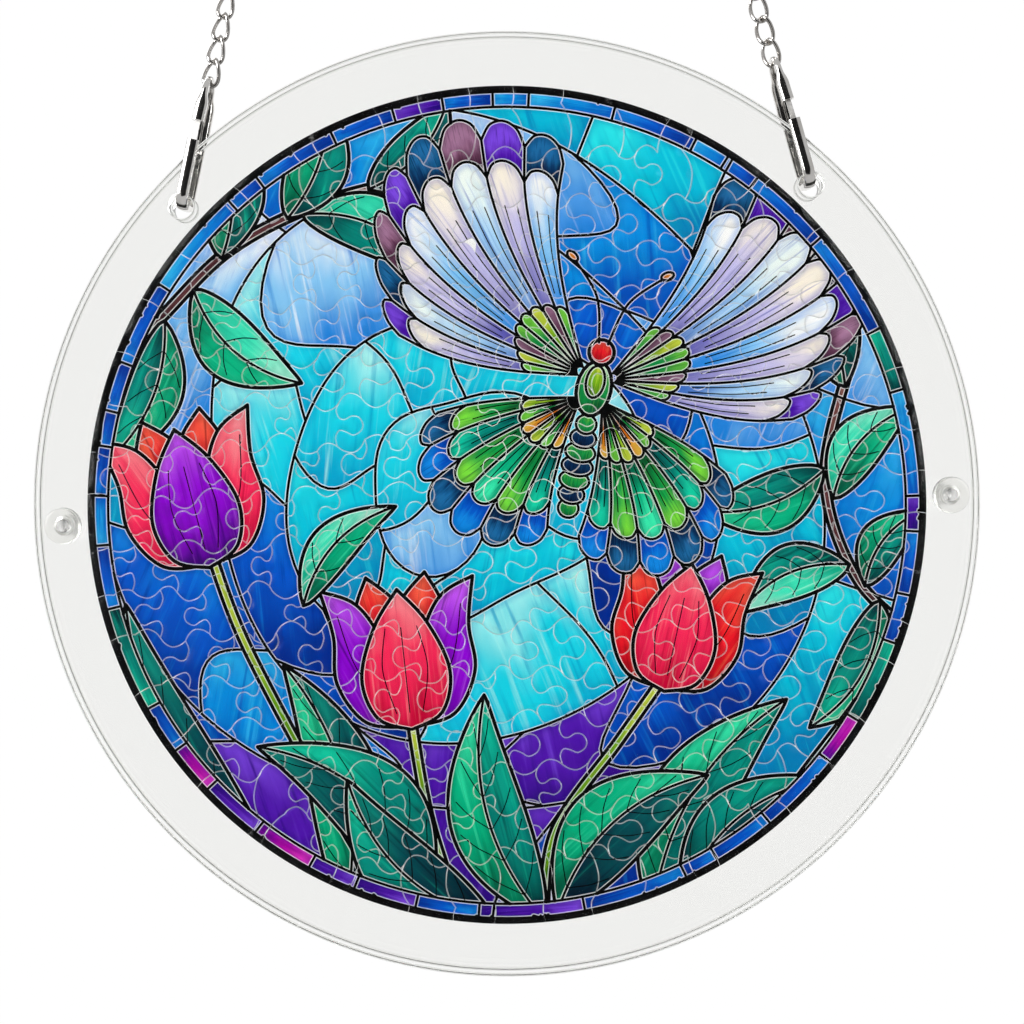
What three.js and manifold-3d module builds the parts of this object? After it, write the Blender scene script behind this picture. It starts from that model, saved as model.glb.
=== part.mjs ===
// Acrylic puzzle suncatcher: a round jigsaw held between two clear discs, hung on a chain.
// Millimetres. +Z is up, the picture faces -Y, and the origin is the point that hangs on a hook:
// the inside of the top of the chain's middle link.

import * as THREE from 'three';
import { mergeVertices } from 'three/addons/utils/BufferGeometryUtils.js';
import Module from 'manifold-3d';

const wasm = await Module();
wasm.setup();

// Panels and puzzle
const discDiameter = 254;
const panelThickness = 3;
const panelChamfer = 0.4;
const puzzleMargin = 13.8;
const puzzleThickness = 1.9;
const puzzleChamfer = 0.2;
const puzzleClearance = 0.3;
const puzzleDiameter = discDiameter - 2 * puzzleMargin;

// Holes that the clasps pass through, this far in from the rim, at this angle from the top
const hangingHoleDiameter = 6.4;
const hangingHoleMargin = 8.4;
const hangingHoleAngle = 45;
const hangingHoleCircleRadius = discDiameter / 2 - hangingHoleMargin;

// Clear snap rivets through both panels, this far in from the rim, at nine and three o'clock
const rivetMargin = 8;
const rivetHeadDiameter = 9.8;
const rivetHeadThickness = 1.6;
const rivetHeadChamfer = 0.7;
const rivetShankDiameter = 4;
const rivetHoleClearance = 0.3;
const rivetBarbOverhang = 0.6;
const rivetBarbLength = 2.4;
const rivetSlotWidth = 0.8;
const rivetSeatGap = 0.1;
const rivetCircleRadius = discDiameter / 2 - rivetMargin;

// Snap hooks of folded sheet, measured along the hook from its lower end
const claspLength = 36.5;
const claspRailWidth = 3;
const claspRailDepth = 1.7;
const claspSheetThickness = 0.55;
const claspPanelClearance = 0.45;
const claspLowerCornerRadius = 3;
const claspTipHeight = 18.3;
const claspBarEndHeight = 23.5;
const claspEyeHalfWidth = 2.8;
const claspEyeRadius = 3.2;
const claspEyeBandWidth = 1.6;
const claspSeatGap = 0.3;

// Sprung gate of each snap hook: a strip with a knuckle that turns on a pin in the upper bar,
// and that ends inside the channel of the hook's tip
const gatePinInset = 1;
const gateTipOverlap = 1.15;
const gateWidth = 1.3;
const gateThickness = 0.45;
const gatePinDiameter = 0.5;
const gatePinClearance = 0.1;
const gateKnuckleWall = 0.25;
const gateDepthInRail = 0.45;
const gatePinHeight = claspBarEndHeight + gatePinInset;
const gateReach = gatePinHeight - claspTipHeight + gateTipOverlap;

// Curb chain
const linksPerSide = 49;
const linkLength = 8.2;
const linkWidth = 5.2;
const wireDiameter = 1.05;
const linkBite = 0.06;
const linkRoundness = 0.75;
const linkEndTwist = -40;
const chainTopTurn = -50;
const chainBottomTurn = -20;
const chainStartShare = 0.41;
const chainEndGap = 0.3;

const circleSides = 64;
const smallCircleSides = 12;
const pinSides = 12;
const linkSides = 8;
const cornerSteps = 4;

const radians = THREE.MathUtils.degToRad;

const sandwichThickness = 2 * panelThickness + puzzleThickness + 2 * puzzleClearance;
const panelCentreDepth = sandwichThickness / 2 - panelThickness / 2;
const wireRadius = wireDiameter / 2;
const linkHalfLength = linkLength / 2 - wireRadius;
const linkHalfWidth = linkWidth / 2 - wireRadius;
const linkPitch = 2 * linkHalfLength - wireDiameter + linkBite;
const hangingHoleX = hangingHoleCircleRadius * Math.sin(radians(hangingHoleAngle));
const hangingHoleRise = hangingHoleCircleRadius * Math.cos(radians(hangingHoleAngle));

// Half the space between the rails of a clasp, beside the panels
const claspHalfSpace = sandwichThickness / 2 + claspPanelClearance;

// Each rail starts to lean in towards the eye at the height of the hook's tip
const claspLeanRise = claspLength - claspRailDepth - claspTipHeight;
const claspLeanRate = (claspHalfSpace - claspEyeHalfWidth) / claspLeanRise;

function railFaceAt(height) {
  return claspHalfSpace - claspLeanRate * Math.max(0, height - claspTipHeight);
}

// Height of a hanging hole's centre above the lower end of the clasp that carries it. The upper
// edge of the hole rests in the clasp's rounded corner, a seat gap away, under both edges of the rail.
const cornerInset = claspLowerCornerRadius - claspPanelClearance;
const cornerRise = claspLowerCornerRadius - Math.sqrt(claspLowerCornerRadius ** 2 - cornerInset ** 2);
const holeDropAtRailEdge = Math.sqrt((hangingHoleDiameter / 2) ** 2 - (claspRailWidth / 2) ** 2);
const claspSeatHeight = claspRailDepth + cornerRise + claspSeatGap - holeDropAtRailEdge;

// Length of one side of the chain, from the middle link's wire to the hanging hole
const firstLinkStart = -(wireDiameter + chainEndGap);
const lastLinkEnd = firstLinkStart + 2 * linkHalfLength + (linksPerSide - 1) * linkPitch;
const claspInnerTop = lastLinkEnd - wireRadius - chainEndGap;
const sideLength = claspInnerTop + claspLength - claspRailDepth - claspSeatHeight;

// The middle link lies across the hook, and a side of the chain leaves each end of its lower wire
const middleLinkZ = wireRadius - linkHalfWidth;
const chainStartX = chainStartShare * linkHalfLength;
const chainStartZ = middleLinkZ - linkHalfWidth * Math.sqrt(1 - chainStartShare ** 2);
const sideLean = Math.asin((hangingHoleX - chainStartX) / sideLength);
const hangingHoleZ = chainStartZ - sideLength * Math.cos(sideLean);
const discZ = hangingHoleZ - hangingHoleRise;

// Materials
const acrylic = new THREE.MeshStandardMaterial({
  color: 0xf1f2f0, roughness: 0.05, metalness: 0, transparent: true, opacity: 0.3 });
const printedBoard = new THREE.MeshStandardMaterial({ color: 0x1678b8, roughness: 0.5, metalness: 0 });
const brightNickel = new THREE.MeshStandardMaterial({ color: 0xc9c8c5, roughness: 0.2, metalness: 1 });
const springSteel = new THREE.MeshStandardMaterial({ color: 0xdad9d6, roughness: 0.25, metalness: 1 });
const chainSteel = new THREE.MeshStandardMaterial({ color: 0xb9b8b5, roughness: 0.25, metalness: 1 });

// A closed geometry with shared vertices and its faces pointing out
function closedGeometry(positions, indices) {
  let volume = 0;
  const [a, b, c] = [new THREE.Vector3(), new THREE.Vector3(), new THREE.Vector3()];
  for (let i = 0; i < indices.length; i += 3) {
    a.fromArray(positions, 3 * indices[i]);
    b.fromArray(positions, 3 * indices[i + 1]);
    c.fromArray(positions, 3 * indices[i + 2]);
    volume += a.dot(b.cross(c));
  }
  if (volume < 0) {
    indices = indices.slice().reverse();
  }
  const geometry = new THREE.BufferGeometry();
  geometry.setAttribute('position', new THREE.Float32BufferAttribute(positions, 3));
  geometry.setIndex(Array.from(indices));
  geometry.computeVertexNormals();
  return geometry;
}

function mergedGeometry(source) {
  const bare = source.clone();
  bare.deleteAttribute('normal');
  bare.deleteAttribute('uv');
  const merged = mergeVertices(bare, 1e-5);
  const positions = merged.attributes.position.array;
  const indices = [];
  for (let i = 0; i < merged.index.count; i += 3) {
    const [p, q, r] = [merged.index.getX(i), merged.index.getX(i + 1), merged.index.getX(i + 2)];
    if (p !== q && q !== r && r !== p) {
      indices.push(p, q, r);
    }
  }
  return closedGeometry(positions, indices);
}

function solidOf(geometry) {
  const merged = geometry.index ? geometry : mergedGeometry(geometry);
  return new wasm.Manifold(new wasm.Mesh({
    numProp: 3,
    vertProperties: new Float32Array(merged.attributes.position.array),
    triVerts: new Uint32Array(merged.index.array),
  }));
}

function geometryOf(solid) {
  const mesh = solid.getMesh();
  return closedGeometry(Array.from(mesh.vertProperties), Array.from(mesh.triVerts));
}

function circlePoints(centreX, centreY, radius, sides) {
  const points = [];
  for (let i = 0; i < sides; i += 1) {
    const turn = (2 * Math.PI * i) / sides;
    points.push(new THREE.Vector2(centreX + radius * Math.cos(turn), centreY + radius * Math.sin(turn)));
  }
  return points;
}

// A chamfered round plate whose axis is Y, centred on the origin, with round holes through it
function plateGeometry(diameter, thickness, chamfer, holes) {
  const outline = new THREE.Shape(circlePoints(0, 0, diameter / 2 - chamfer, circleSides));
  for (const hole of holes) {
    const edge = circlePoints(hole.x, hole.z, hole.diameter / 2 + chamfer, smallCircleSides);
    outline.holes.push(new THREE.Path(edge.reverse()));
  }
  const plate = new THREE.ExtrudeGeometry(outline, {
    depth: thickness - 2 * chamfer,
    bevelEnabled: true,
    bevelThickness: chamfer,
    bevelSize: chamfer,
    bevelSegments: 1,
  });
  plate.translate(0, 0, chamfer - thickness / 2);
  plate.rotateX(Math.PI / 2);
  return mergedGeometry(plate);
}

function panelHoles() {
  const rivetHole = rivetShankDiameter + 2 * rivetHoleClearance;
  return [
    { x: -hangingHoleX, z: hangingHoleRise, diameter: hangingHoleDiameter },
    { x: hangingHoleX, z: hangingHoleRise, diameter: hangingHoleDiameter },
    { x: -rivetCircleRadius, z: 0, diameter: rivetHole },
    { x: rivetCircleRadius, z: 0, diameter: rivetHole },
  ];
}

// A round-headed rivet along Y, head at the front, with a split barbed end behind the back panel
function rivetGeometry() {
  const shank = rivetShankDiameter / 2;
  const barb = shank + rivetBarbOverhang;
  const head = rivetHeadDiameter / 2;
  const seat = -sandwichThickness / 2 - rivetSeatGap;
  const catchFace = sandwichThickness / 2 + rivetSeatGap;
  const end = catchFace + rivetBarbLength;
  const profile = [
    new THREE.Vector2(0, seat - rivetHeadThickness),
    new THREE.Vector2(head - rivetHeadChamfer, seat - rivetHeadThickness),
    new THREE.Vector2(head, seat - rivetHeadThickness + rivetHeadChamfer),
    new THREE.Vector2(head, seat),
    new THREE.Vector2(shank, seat),
    new THREE.Vector2(shank, catchFace),
    new THREE.Vector2(barb, catchFace),
    new THREE.Vector2(barb, catchFace + rivetBarbLength / 4),
    new THREE.Vector2(shank * 0.7, end),
    new THREE.Vector2(0, end),
  ];
  const body = mergedGeometry(new THREE.LatheGeometry(profile, smallCircleSides));
  const slotLength = panelThickness + rivetBarbLength;
  const slot = new THREE.BoxGeometry(rivetSlotWidth, slotLength, 4 * barb);
  slot.translate(0, end + 1 - slotLength / 2, 0);
  return geometryOf(solidOf(body).subtract(solidOf(mergedGeometry(slot))));
}

// Corners joined by straight lines, each rounded to its own radius. Every point of the path has
// the direction that points away from the inside of the loop.
function roundedPath(corners) {
  const path = [];
  const add = (point, direction) => {
    path.push({ point, outward: new THREE.Vector2(direction.y, -direction.x) });
  };
  corners.forEach((corner, i) => {
    const here = new THREE.Vector2(corner.depth, corner.height);
    const before = i > 0 ? new THREE.Vector2(corners[i - 1].depth, corners[i - 1].height) : null;
    const after = i < corners.length - 1
      ? new THREE.Vector2(corners[i + 1].depth, corners[i + 1].height) : null;
    const arriving = (before ? here.clone().sub(before) : after.clone().sub(here)).normalize();
    const leaving = (after ? after.clone().sub(here) : here.clone().sub(before)).normalize();
    if (!corner.radius) {
      add(here, arriving.clone().add(leaving).normalize());
      return;
    }
    const turn = arriving.angleTo(leaving);
    const side = Math.sign(arriving.cross(leaving));
    const start = here.clone().addScaledVector(arriving, -corner.radius * Math.tan(turn / 2));
    const inward = new THREE.Vector2(-arriving.y, arriving.x).multiplyScalar(side);
    const centre = start.clone().addScaledVector(inward, corner.radius);
    for (let step = 0; step <= cornerSteps; step += 1) {
      const angle = (side * turn * step) / cornerSteps;
      const point = start.clone().rotateAround(centre, angle);
      add(point, arriving.clone().rotateAround(new THREE.Vector2(), angle));
    }
  });
  return path;
}

// The rail's inner face, from the hook's tip at the front, under the panels, up the back,
// over the eye and down to the end of the upper bar
function claspPath() {
  const inside = claspHalfSpace;
  const eye = claspEyeHalfWidth;
  const top = claspLength - claspRailDepth;
  return roundedPath([
    { depth: -inside, height: claspTipHeight },
    { depth: -inside, height: claspRailDepth, radius: claspLowerCornerRadius },
    { depth: inside, height: claspRailDepth, radius: claspLowerCornerRadius },
    { depth: inside, height: claspTipHeight },
    { depth: eye, height: top, radius: claspEyeRadius },
    { depth: -eye, height: top, radius: claspEyeRadius },
    { depth: -railFaceAt(claspBarEndHeight), height: claspBarEndHeight },
  ]);
}

// The folded sheet's section: a channel that opens to the inside of the loop
function channelSection(width) {
  const half = width / 2;
  const sheet = claspSheetThickness;
  const depth = claspRailDepth;
  return [
    [-half, 0],
    [-half, depth - sheet],
    [-half + sheet, depth],
    [half - sheet, depth],
    [half, depth - sheet],
    [half, 0],
    [half - sheet, 0],
    [half - sheet, depth - sheet],
    [-half + sheet, depth - sheet],
    [-half + sheet, 0],
  ];
}

// The band is full width beside the panels and narrows where the chain's end link takes hold
function bandWidthAt(height) {
  const start = claspLength - claspRailDepth - 2 * claspEyeRadius;
  const share = THREE.MathUtils.clamp((height - start) / claspEyeRadius, 0, 1);
  return THREE.MathUtils.lerp(claspRailWidth, claspEyeBandWidth, share);
}

function claspBandGeometry() {
  const path = claspPath();
  const positions = [];
  const indices = [];
  const count = channelSection(claspRailWidth).length;
  for (const { point, outward } of path) {
    for (const [across, depth] of channelSection(bandWidthAt(point.y))) {
      positions.push(across, point.x + outward.x * depth, point.y + outward.y * depth - claspSeatHeight);
    }
  }
  for (let i = 0; i < path.length - 1; i += 1) {
    for (let j = 0; j < count; j += 1) {
      const [a, b] = [i * count + j, i * count + ((j + 1) % count)];
      indices.push(a, b, a + count, b, b + count, a + count);
    }
  }
  const outline = channelSection(claspRailWidth).map(([x, y]) => new THREE.Vector2(x, y));
  const last = (path.length - 1) * count;
  const clockwise = THREE.ShapeUtils.isClockWise(outline);
  for (const [a, b, c] of THREE.ShapeUtils.triangulateShape(outline, [])) {
    const [p, q] = clockwise ? [b, c] : [c, b];
    indices.push(a, p, q);
    indices.push(last + a, last + q, last + p);
  }
  return closedGeometry(positions, indices);
}

function rodAlongX(diameter, length) {
  const rod = new THREE.CylinderGeometry(diameter / 2, diameter / 2, length, pinSides);
  rod.rotateZ(Math.PI / 2);
  return mergedGeometry(rod);
}

function gatePinPlace() {
  const depth = -(railFaceAt(gatePinHeight) + gateDepthInRail);
  return new THREE.Vector3(0, depth, gatePinHeight - claspSeatHeight);
}

function claspGeometry() {
  const pin = rodAlongX(gatePinDiameter, claspRailWidth - claspSheetThickness);
  const place = gatePinPlace();
  pin.translate(place.x, place.y, place.z);
  return geometryOf(solidOf(claspBandGeometry()).add(solidOf(pin)));
}

// The gate hangs from its pin, at the origin, down into the channel of the hook's tip
function gateGeometry() {
  const holeDiameter = gatePinDiameter + 2 * gatePinClearance;
  const knuckle = solidOf(rodAlongX(holeDiameter + 2 * gateKnuckleWall, gateWidth));
  const hole = solidOf(rodAlongX(holeDiameter, 2 * gateWidth));
  const tipHeight = gatePinHeight - gateReach;
  const spread = railFaceAt(tipHeight) - railFaceAt(gatePinHeight);
  const start = holeDiameter / 2 + gateKnuckleWall / 2;
  const length = Math.hypot(gateReach, spread) - start;
  const strip = new THREE.BoxGeometry(gateWidth, gateThickness, length);
  strip.translate(0, 0, -start - length / 2);
  strip.rotateX(-Math.atan2(spread, gateReach));
  return geometryOf(knuckle.add(solidOf(mergedGeometry(strip))).subtract(hole));
}

// Fills out an oval towards a rectangle with round corners
function rounded(share) {
  return Math.abs(share) < 1e-9 ? 0 : Math.sign(share) * Math.abs(share) ** linkRoundness;
}

// The wire's section in shares of its radius, inside of the link first: one ridge faces the inside,
// where the next link bears
const wireSection = [[-1, 0], [0.7, -1], [0.7, 1]];

// One oval link along Z, its ends turned about its length by endTwist either way
function linkGeometry(endTwist) {
  const positions = [];
  const indices = [];
  const point = new THREE.Vector3();
  for (let i = 0; i < linkSides; i += 1) {
    const along = Math.PI / 2 + (2 * Math.PI * i) / linkSides;
    const across = linkHalfWidth * rounded(Math.cos(along));
    const up = linkHalfLength * rounded(Math.sin(along));
    const normal = new THREE.Vector2(Math.cos(along) / linkHalfWidth, Math.sin(along) / linkHalfLength);
    normal.normalize();
    for (const [outShare, sideShare] of wireSection) {
      const out = wireRadius * outShare;
      point.set(across + out * normal.x, wireRadius * sideShare, up + out * normal.y);
      point.applyAxisAngle(new THREE.Vector3(0, 0, 1), radians(endTwist) * (up / linkHalfLength));
      positions.push(point.x, point.y, point.z);
    }
  }
  const count = wireSection.length;
  for (let i = 0; i < linkSides; i += 1) {
    for (let j = 0; j < count; j += 1) {
      const [k, l] = [((i + 1) % linkSides) * count, (j + 1) % count];
      const [a, b, c, d] = [i * count + j, i * count + l, k + j, k + l];
      indices.push(a, b, c, b, d, c);
    }
  }
  return closedGeometry(positions, indices);
}

// A side of the chain, hanging down from the origin. Its upper links turn edge on, so that the
// two sides clear each other at the middle link.
function chainGeometry() {
  const link = linkGeometry(linkEndTwist);
  let chain = null;
  for (let i = 0; i < linksPerSide; i += 1) {
    const turn = THREE.MathUtils.lerp(chainTopTurn, chainBottomTurn, i / (linksPerSide - 1));
    const copy = link.clone();
    copy.rotateZ(radians(turn));
    copy.translate(0, 0, -(firstLinkStart + linkHalfLength + i * linkPitch));
    const solid = solidOf(copy);
    chain = chain ? chain.add(solid) : solid;
  }
  return geometryOf(chain);
}

function named(name, geometry, material) {
  const mesh = new THREE.Mesh(geometry, material);
  mesh.name = name;
  return mesh;
}

function discGroup() {
  const group = new THREE.Group();
  group.position.z = discZ;
  const panel = plateGeometry(discDiameter, panelThickness, panelChamfer, panelHoles());
  const front = named('front_panel', panel, acrylic);
  front.position.y = -panelCentreDepth;
  const back = named('back_panel', panel.clone(), acrylic);
  back.position.y = panelCentreDepth;
  const board = plateGeometry(puzzleDiameter, puzzleThickness, puzzleChamfer, []);
  group.add(front, back, named('puzzle_board', board, printedBoard));
  for (const [side, direction] of [['left', -1], ['right', 1]]) {
    const rivet = named(`${side}_rivet`, rivetGeometry(), acrylic);
    rivet.position.x = direction * rivetCircleRadius;
    group.add(rivet);
  }
  return group;
}

function claspGroup(side, direction) {
  const group = new THREE.Group();
  group.position.set(direction * hangingHoleX, 0, hangingHoleZ);
  group.rotation.y = -direction * sideLean;
  const gate = named(`${side}_gate`, gateGeometry(), springSteel);
  gate.position.copy(gatePinPlace());
  group.add(named(`${side}_clasp`, claspGeometry(), brightNickel), gate);
  return group;
}

function chainSide(side, direction) {
  const chain = named(`${side}_chain`, chainGeometry(), chainSteel);
  chain.position.set(direction * chainStartX, 0, chainStartZ);
  chain.rotation.y = -direction * sideLean;
  return chain;
}

function middleLink() {
  const link = named('middle_link', linkGeometry(0), chainSteel);
  link.rotation.y = Math.PI / 2;
  link.position.z = middleLinkZ;
  return link;
}

const suncatcher = new THREE.Group();
suncatcher.add(discGroup(), middleLink());
for (const [side, direction] of [['left', -1], ['right', 1]]) {
  suncatcher.add(claspGroup(side, direction), chainSide(side, direction));
}

export default suncatcher;
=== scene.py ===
# Acrylic puzzle suncatcher: a round jigsaw between two clear discs, hung on a curb chain.
# Sizes are in millimetres unless a name says otherwise, and meshes are scaled to metres when made.

import math
import random

import bmesh
import bpy
import numpy as np
from mathutils import Matrix, Vector, kdtree
from mathutils.geometry import delaunay_2d_cdt


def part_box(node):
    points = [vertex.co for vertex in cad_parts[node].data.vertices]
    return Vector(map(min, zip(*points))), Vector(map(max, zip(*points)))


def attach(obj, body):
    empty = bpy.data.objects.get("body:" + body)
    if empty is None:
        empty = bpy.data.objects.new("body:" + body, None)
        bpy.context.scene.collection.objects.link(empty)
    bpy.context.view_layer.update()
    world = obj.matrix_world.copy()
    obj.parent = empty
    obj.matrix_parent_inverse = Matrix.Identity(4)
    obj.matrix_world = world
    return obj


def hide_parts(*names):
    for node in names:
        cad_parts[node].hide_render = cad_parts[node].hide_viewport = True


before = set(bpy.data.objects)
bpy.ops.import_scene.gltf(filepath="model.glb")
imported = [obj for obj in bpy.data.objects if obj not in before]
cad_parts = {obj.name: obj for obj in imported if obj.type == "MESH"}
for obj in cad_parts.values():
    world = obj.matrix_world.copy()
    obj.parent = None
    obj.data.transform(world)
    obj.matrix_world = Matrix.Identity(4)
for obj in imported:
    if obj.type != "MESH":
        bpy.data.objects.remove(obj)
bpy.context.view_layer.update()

MM = 0.001
BODY = "suncatcher"

# Places taken from the frame
panel_low, panel_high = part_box("front_panel")
disc_radius = (panel_high.x - panel_low.x) / 2 / MM
disc_z = (panel_high.z + panel_low.z) / 2 / MM
front_face = panel_low.y / MM
panel_thickness = (panel_high.y - panel_low.y) / MM
board_low, board_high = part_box("puzzle_board")
board_radius = (board_high.x - board_low.x) / 2 / MM
board_front = board_low.y / MM
board_thickness = (board_high.y - board_low.y) / MM

# Camera
camera_distance = 400
camera_target_x = 1.3
camera_target_z = -0.5
camera_elevation = 2.5
camera_roll = -2.0
image_size = 1024
focal_pixels = 1491
sensor_width = 36

# Stage, in metres. The wall and the card reach to each side of the disc's centre.
wall_y = 1.9
wall_reach = 1.05
card_y = -1.1
card_reach = 0.56
card_below = 0.6
card_above = 0.8
world_strength = 0.55
softbox_width = 1.0
softbox_height = 1.2
# Place and power of each softbox. One on the right would show as a pale streak in the plating, so
# only those on the left are seen in gloss.
softboxes = [(-1.3, -1.1, 0.1, 43), (1.3, -1.1, 0.1, 43), (-1.0, 1.2, 0.9, 12)]

# Holes and rivets
hanging_hole_radius = 3.2
hanging_hole_margin = 8.4
hanging_hole_circle = disc_radius - hanging_hole_margin
hanging_hole_angle = 45
rivet_margin = 8
rivet_circle = disc_radius - rivet_margin
rivet_head_radius = 4.9
rivet_head_thickness = 1.6
rivet_head_round = 0.7
rivet_dish_radius = 2.5
rivet_dish_depth = 0.35
rivet_shank_radius = 2
rivet_hole_radius = 2.3
rivet_barb_radius = 2.6
rivet_barb_length = 2.4
rivet_slot_width = 0.8
rivet_seat_gap = 0.1
panel_chamfer = 0.35
circle_steps = 256
hole_steps = 48
rivet_steps = 64

# Snap hooks
clasp_length = 36.5
clasp_rail_width = 3
clasp_rail_depth = 1.7
clasp_sheet = 0.55
clasp_panel_clearance = 0.45
clasp_corner_radius = 3
clasp_tip_height = 18.3
clasp_bar_end_height = 23.5
clasp_eye_half_width = 2.8
clasp_eye_radius = 3.2
clasp_eye_band_width = 1.6
clasp_seat_gap = 0.3
clasp_corner_steps = 14
clasp_crown = 0.55
clasp_straight_step = 1.2
gate_pin_inset = 1
gate_tip_overlap = 1.15
gate_pin_height = clasp_bar_end_height + gate_pin_inset
gate_reach = gate_pin_height - clasp_tip_height + gate_tip_overlap
gate_width = 1.3
gate_thickness = 0.45
gate_pin_radius = 0.25
gate_pin_clearance = 0.1
gate_knuckle_wall = 0.25
gate_depth_in_rail = 0.45
gate_knuckle_steps = 20

# Curb chain
links_per_side = 49
link_length = 8.2
link_width = 5.2
wire_diameter = 1.05
link_bite = 0.06
link_roundness = 0.75
link_end_twist = -40
chain_top_turn = -50
chain_bottom_turn = -20
chain_start_share = 0.41
chain_end_gap = 0.3
link_steps = 40
wire_steps = 10

half_sandwich = -front_face
wire_radius = wire_diameter / 2
link_half_length = link_length / 2 - wire_radius
link_half_width = link_width / 2 - wire_radius
link_pitch = 2 * link_half_length - wire_diameter + link_bite
hole_x = hanging_hole_circle * math.sin(math.radians(hanging_hole_angle))
hole_rise = hanging_hole_circle * math.cos(math.radians(hanging_hole_angle))
clasp_half_space = half_sandwich + clasp_panel_clearance
clasp_lean_rate = (clasp_half_space - clasp_eye_half_width) / (
    clasp_length - clasp_rail_depth - clasp_tip_height
)
corner_inset = clasp_corner_radius - clasp_panel_clearance
corner_rise = clasp_corner_radius - math.sqrt(clasp_corner_radius**2 - corner_inset**2)
hole_drop = math.sqrt(hanging_hole_radius**2 - (clasp_rail_width / 2) ** 2)
clasp_seat_height = clasp_rail_depth + corner_rise + clasp_seat_gap - hole_drop
first_link_start = -(wire_diameter + chain_end_gap)
last_link_end = first_link_start + 2 * link_half_length + (links_per_side - 1) * link_pitch
clasp_inner_top = last_link_end - wire_radius - chain_end_gap
side_length = clasp_inner_top + clasp_length - clasp_rail_depth - clasp_seat_height
middle_link_z = wire_radius - link_half_width
chain_start_x = chain_start_share * link_half_length
chain_start_z = middle_link_z - link_half_width * math.sqrt(1 - chain_start_share**2)
side_lean = math.asin((hole_x - chain_start_x) / side_length)
SIDES = (("left", -1), ("right", 1))


# Small helpers

def linear(value):
    """One sRGB channel, 0 to 1, as linear light."""
    return value / 12.92 if value <= 0.04045 else ((value + 0.055) / 1.055) ** 2.4


def colour(code):
    """A colour written as six hex digits, as linear light."""
    return tuple(linear(int(code[i:i + 2], 16) / 255) for i in (0, 2, 4))


def mesh_piece(name, vertices, faces, materials, smooth=False, face_slots=None):
    """A mesh object from points in millimetres, with its materials."""
    mesh = bpy.data.meshes.new(name)
    mesh.from_pydata([tuple(c * MM for c in v) for v in vertices], [], [tuple(f) for f in faces])
    for material in materials:
        mesh.materials.append(material)
    if face_slots is not None:
        mesh.polygons.foreach_set("material_index", np.asarray(face_slots, np.int32))
    mesh.polygons.foreach_set("use_smooth", np.full(len(mesh.polygons), smooth))
    mesh.update()
    piece = bpy.data.objects.new(name, mesh)
    bpy.context.scene.collection.objects.link(piece)
    return piece


def dress(piece, body, slot, *nodes):
    """Says what the piece rides on and which nodes it stands for. The slot, the finish it would take, is not
    used.
    """
    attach(piece, body)
    if nodes:
        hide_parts(*nodes)


def sharpen(piece, angle):
    """Faces out, and smooth shading with edges sharper than the angle kept."""
    form = bmesh.new()
    form.from_mesh(piece.data)
    bmesh.ops.recalc_face_normals(form, faces=form.faces)
    form.to_mesh(piece.data)
    form.free()
    piece.data.set_sharp_from_angle(angle=math.radians(angle))


def form_piece(name, form, material, sharp_angle, slot, node, body=BODY):
    """A form of vertices and faces as a smooth piece that stands for one node."""
    piece = mesh_piece(name, *form, [material], smooth=True)
    if sharp_angle:
        sharpen(piece, sharp_angle)
    dress(piece, body, slot, node)


def turned(x, y, degrees):
    c, s = math.cos(math.radians(degrees)), math.sin(math.radians(degrees))
    return x * c - y * s, x * s + y * c


def circle(centre_x, centre_y, radius, steps):
    turns = [2 * math.pi * i / steps for i in range(steps)]
    return [(centre_x + radius * math.cos(t), centre_y + radius * math.sin(t)) for t in turns]


def unit(x, y):
    length = math.hypot(x, y)
    return x / length, y / length


def tube(rings, closed=False):
    """A skin over rings of equally many points, with a face over each end unless it is closed."""
    count = len(rings[0])
    vertices = [point for ring in rings for point in ring]
    faces = []
    for i in range(len(rings) if closed else len(rings) - 1):
        near, far = i * count, (i + 1) % len(rings) * count
        for j in range(count):
            k = (j + 1) % count
            faces.append((near + j, far + j, far + k, near + k))
    if not closed:
        last = len(vertices) - count
        faces.append(tuple(range(count)))
        faces.append(tuple(last + i for i in range(count - 1, -1, -1)))
    return vertices, faces


def joined(*forms):
    vertices, faces = [], []
    for points, polygons in forms:
        start = len(vertices)
        vertices += points
        faces += [tuple(start + i for i in f) for f in polygons]
    return vertices, faces


def moved(form, x, y, z):
    return [(p + x, q + y, r + z) for p, q, r in form[0]], form[1]


def placed(form, matrix):
    return [tuple(matrix @ Vector(p)) for p in form[0]], form[1]


# Materials

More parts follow.
